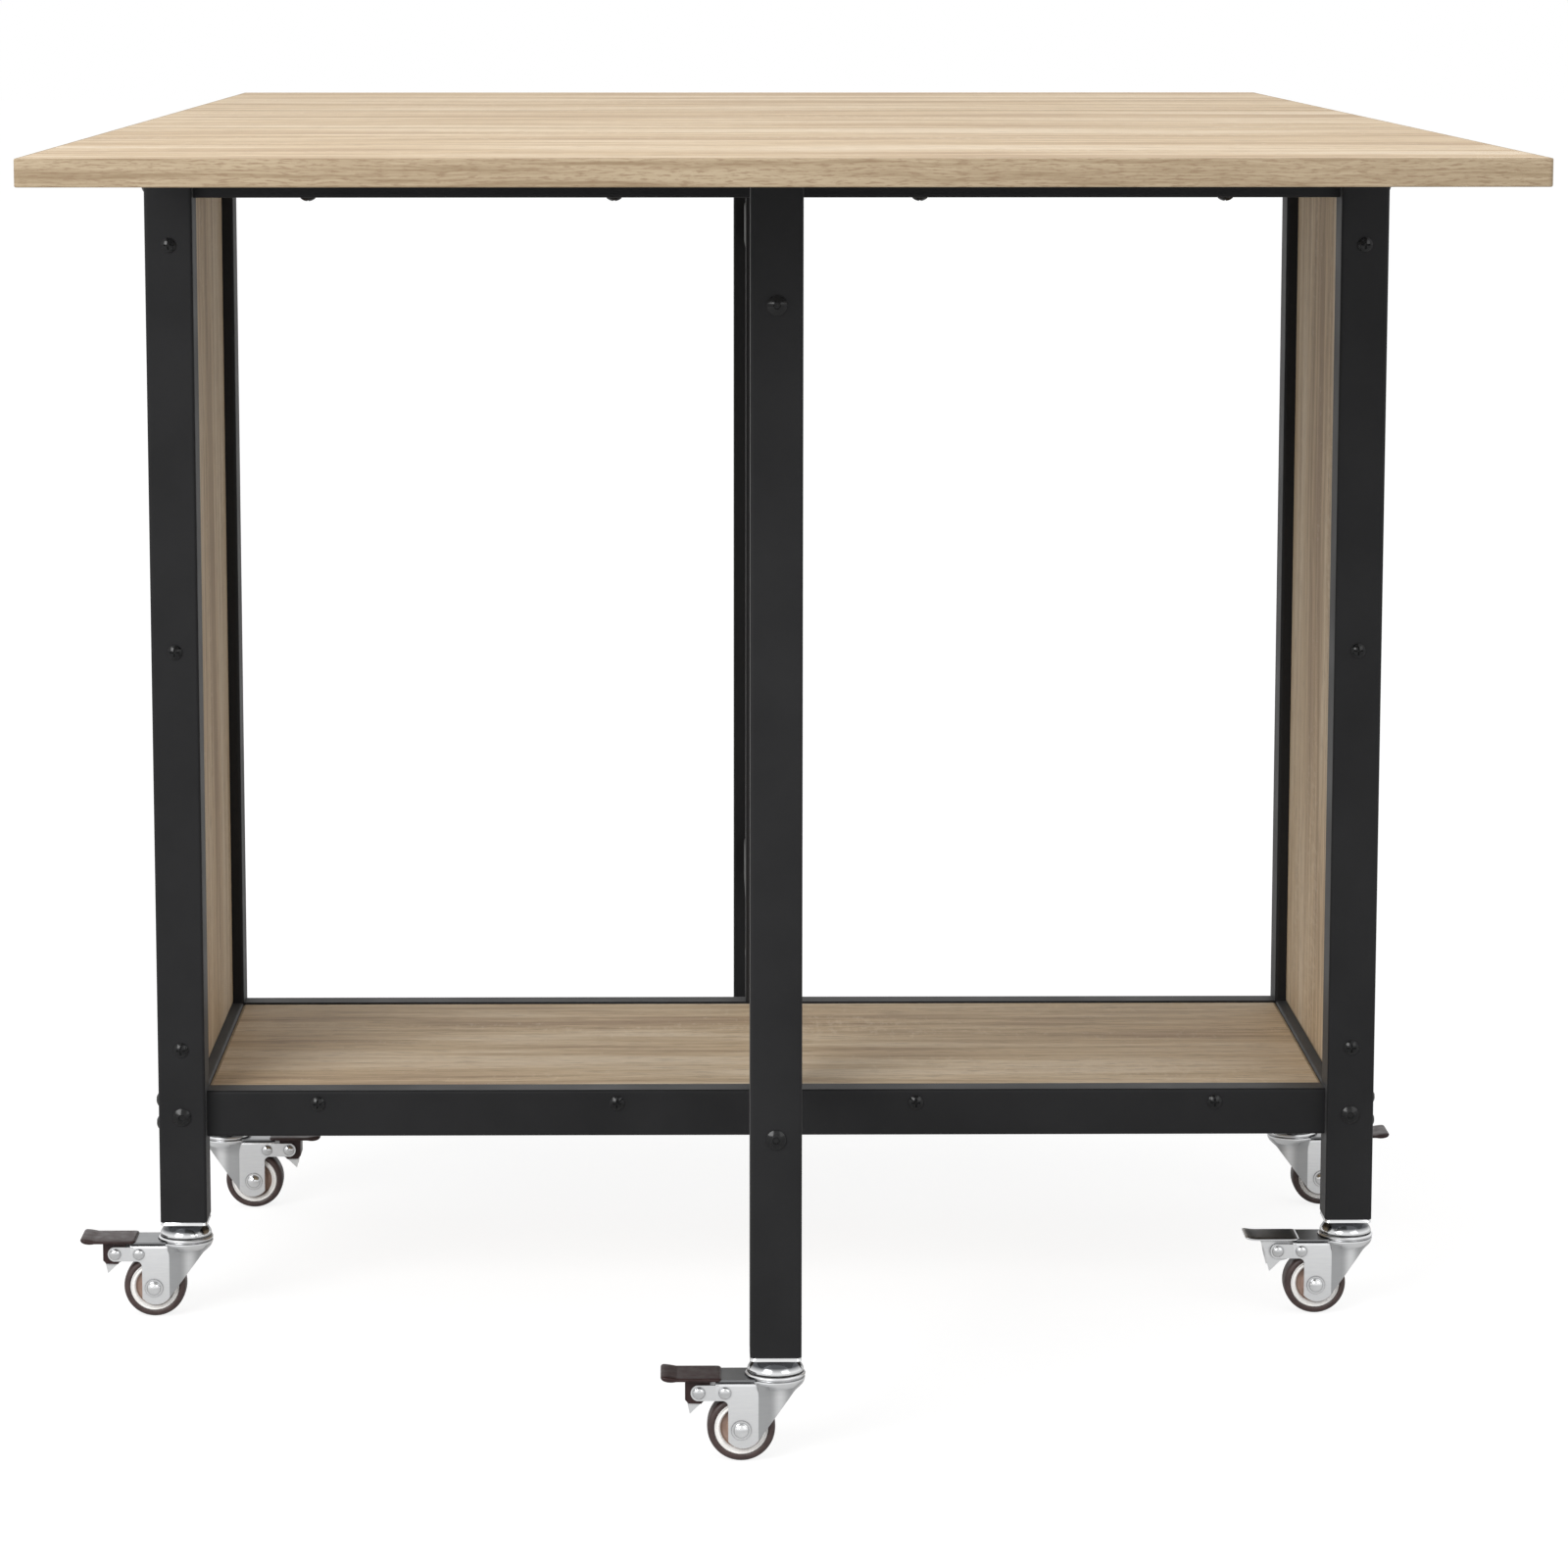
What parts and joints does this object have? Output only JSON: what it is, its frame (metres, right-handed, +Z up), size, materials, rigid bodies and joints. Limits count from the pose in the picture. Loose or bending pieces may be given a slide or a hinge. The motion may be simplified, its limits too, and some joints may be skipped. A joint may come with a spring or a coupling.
{
  "type": "folding dining table",
  "caption": "Drop-leaf dining table on braked swivel castors, with a narrow steel frame, wood panels and shelf, and a swing-out gate leg under each leaf.",
  "frame": {"origin": "on the floor under the centre of the table top", "axes": "+Z up, +Y along the long side of the open top from the front leaf to the rear leaf, +X to the right"},
  "size_m": [0.884, 1.4, 0.765],
  "materials": {
    "powder_black": "satin powder coat",
    "black_fastener": "black oxide",
    "oak_board": "matt oak-grain laminate",
    "hinge_steel": "zinc plated",
    "castor_zinc": "bright zinc plate",
    "tyre_brown": "satin polyurethane",
    "wheel_cream": "moulded",
    "pedal_brown": "moulded",
    "cap_black": "moulded"
  },
  "bodies": {
    "frame": {"front_left_post": "powder_black", "front_right_post": "powder_black", "rear_left_post": "powder_black", "rear_right_post": "powder_black", "shelf_rails": "powder_black", "top_rails": "powder_black", "shelf_side_rails": "powder_black", "top_side_rails": "powder_black", "centre_posts": "powder_black", "left_side_panel": "oak_board", "right_side_panel": "oak_board", "shelf_board": "oak_board", "centre_board": "oak_board", "frame_bolts": "black_fastener", "wood_screws": "black_fastener", "gate_brackets": "powder_black", "gate_pivot_pins": "black_fastener", "hinge_fixed_wings": "hinge_steel", "hinge_pins": "hinge_steel", "post_castor_heads": "castor_zinc"},
    "front_leaf": {"front_leaf_board": "oak_board", "front_leaf_hinge_wings": "hinge_steel"},
    "rear_leaf": {"rear_leaf_board": "oak_board", "rear_leaf_hinge_wings": "hinge_steel"},
    "front_gate": {"front_gate_leg": "powder_black", "front_gate_leg_cap": "cap_black", "front_gate_stile": "powder_black", "front_gate_arms": "powder_black", "front_gate_bolts": "black_fastener", "front_gate_castor_head": "castor_zinc"},
    "rear_gate": {"rear_gate_leg": "powder_black", "rear_gate_leg_cap": "cap_black", "rear_gate_stile": "powder_black", "rear_gate_arms": "powder_black", "rear_gate_bolts": "black_fastener", "rear_gate_castor_head": "castor_zinc"},
    "front_left_swivel": {"front_left_fork": "castor_zinc"},
    "front_left_wheel": {"front_left_tread": "tyre_brown", "front_left_wheel_core": "wheel_cream"},
    "front_left_brake": {"front_left_brake_pedal": "pedal_brown"},
    "front_right_swivel": {"front_right_fork": "castor_zinc"},
    "front_right_wheel": {"front_right_tread": "tyre_brown", "front_right_wheel_core": "wheel_cream"},
    "front_right_brake": {"front_right_brake_pedal": "pedal_brown"},
    "rear_left_swivel": {"rear_left_fork": "castor_zinc"},
    "rear_left_wheel": {"rear_left_tread": "tyre_brown", "rear_left_wheel_core": "wheel_cream"},
    "rear_left_brake": {"rear_left_brake_pedal": "pedal_brown"},
    "rear_right_swivel": {"rear_right_fork": "castor_zinc"},
    "rear_right_wheel": {"rear_right_tread": "tyre_brown", "rear_right_wheel_core": "wheel_cream"},
    "rear_right_brake": {"rear_right_brake_pedal": "pedal_brown"},
    "front_gate_swivel": {"front_gate_fork": "castor_zinc"},
    "front_gate_wheel": {"front_gate_tread": "tyre_brown", "front_gate_wheel_core": "wheel_cream"},
    "front_gate_brake": {"front_gate_brake_pedal": "pedal_brown"},
    "rear_gate_swivel": {"rear_gate_fork": "castor_zinc"},
    "rear_gate_wheel": {"rear_gate_tread": "tyre_brown", "rear_gate_wheel_core": "wheel_cream"},
    "rear_gate_brake": {"rear_gate_brake_pedal": "pedal_brown"}
  },
  "joints": [
    {"name": "front_leaf_hinge", "type": "hinge", "parent": "frame", "child": "front_leaf", "pos_m": [0, -0.1911, 0.747], "axis": [-1, 0, 0], "range_deg": [0, 6]},
    {"name": "rear_leaf_hinge", "type": "hinge", "parent": "frame", "child": "rear_leaf", "pos_m": [0, 0.1911, 0.747], "axis": [1, 0, 0], "range_deg": [0, 6]},
    {"name": "front_gate_swing", "type": "hinge", "parent": "frame", "child": "front_gate", "pos_m": [0, -0.169, 0.4], "axis": [0, 0, 1], "range_deg": [-90, 0]},
    {"name": "rear_gate_swing", "type": "hinge", "parent": "frame", "child": "rear_gate", "pos_m": [0, 0.169, 0.4], "axis": [0, 0, 1], "range_deg": [-90, 0]},
    {"name": "front_left_swivel", "type": "hinge", "parent": "frame", "child": "front_left_swivel", "pos_m": [-0.375, -0.145, 0.05], "axis": [0, 0, 1], "continuous": true},
    {"name": "front_left_roll", "type": "hinge", "parent": "front_left_swivel", "child": "front_left_wheel", "pos_m": [-0.395, -0.145, 0.02], "axis": [0, 1, 0], "continuous": true},
    {"name": "front_left_brake", "type": "hinge", "parent": "front_left_swivel", "child": "front_left_brake", "pos_m": [-0.4197, -0.145, 0.041], "axis": [0, -1, 0], "range_deg": [0, 12]},
    {"name": "front_right_swivel", "type": "hinge", "parent": "frame", "child": "front_right_swivel", "pos_m": [0.375, -0.145, 0.05], "axis": [0, 0, 1], "continuous": true},
    {"name": "front_right_roll", "type": "hinge", "parent": "front_right_swivel", "child": "front_right_wheel", "pos_m": [0.355, -0.145, 0.02], "axis": [0, 1, 0], "continuous": true},
    {"name": "front_right_brake", "type": "hinge", "parent": "front_right_swivel", "child": "front_right_brake", "pos_m": [0.3303, -0.145, 0.041], "axis": [0, -1, 0], "range_deg": [0, 12]},
    {"name": "rear_left_swivel", "type": "hinge", "parent": "frame", "child": "rear_left_swivel", "pos_m": [-0.375, 0.145, 0.05], "axis": [0, 0, 1], "continuous": true},
    {"name": "rear_left_roll", "type": "hinge", "parent": "rear_left_swivel", "child": "rear_left_wheel", "pos_m": [-0.355, 0.145, 0.02], "axis": [0, 1, 0], "continuous": true},
    {"name": "rear_left_brake", "type": "hinge", "parent": "rear_left_swivel", "child": "rear_left_brake", "pos_m": [-0.3303, 0.145, 0.041], "axis": [0, 1, 0], "range_deg": [0, 12]},
    {"name": "rear_right_swivel", "type": "hinge", "parent": "frame", "child": "rear_right_swivel", "pos_m": [0.375, 0.145, 0.05], "axis": [0, 0, 1], "continuous": true},
    {"name": "rear_right_roll", "type": "hinge", "parent": "rear_right_swivel", "child": "rear_right_wheel", "pos_m": [0.395, 0.145, 0.02], "axis": [0, 1, 0], "continuous": true},
    {"name": "rear_right_brake", "type": "hinge", "parent": "rear_right_swivel", "child": "rear_right_brake", "pos_m": [0.4197, 0.145, 0.041], "axis": [0, 1, 0], "range_deg": [0, 12]},
    {"name": "front_gate_swivel", "type": "hinge", "parent": "front_gate", "child": "front_gate_swivel", "pos_m": [0, -0.47, 0.05], "axis": [0, 0, -1], "continuous": true},
    {"name": "front_gate_roll", "type": "hinge", "parent": "front_gate_swivel", "child": "front_gate_wheel", "pos_m": [-0.02, -0.47, 0.02], "axis": [0, 1, 0], "continuous": true},
    {"name": "front_gate_brake", "type": "hinge", "parent": "front_gate_swivel", "child": "front_gate_brake", "pos_m": [-0.0447, -0.47, 0.041], "axis": [0, -1, 0], "range_deg": [0, 12]},
    {"name": "rear_gate_swivel", "type": "hinge", "parent": "rear_gate", "child": "rear_gate_swivel", "pos_m": [0, 0.47, 0.05], "axis": [0, 0, -1], "continuous": true},
    {"name": "rear_gate_roll", "type": "hinge", "parent": "rear_gate_swivel", "child": "rear_gate_wheel", "pos_m": [0.02, 0.47, 0.02], "axis": [0, 1, 0], "continuous": true},
    {"name": "rear_gate_brake", "type": "hinge", "parent": "rear_gate_swivel", "child": "rear_gate_brake", "pos_m": [0.0447, 0.47, 0.041], "axis": [0, 1, 0], "range_deg": [0, 12]}
  ]
}
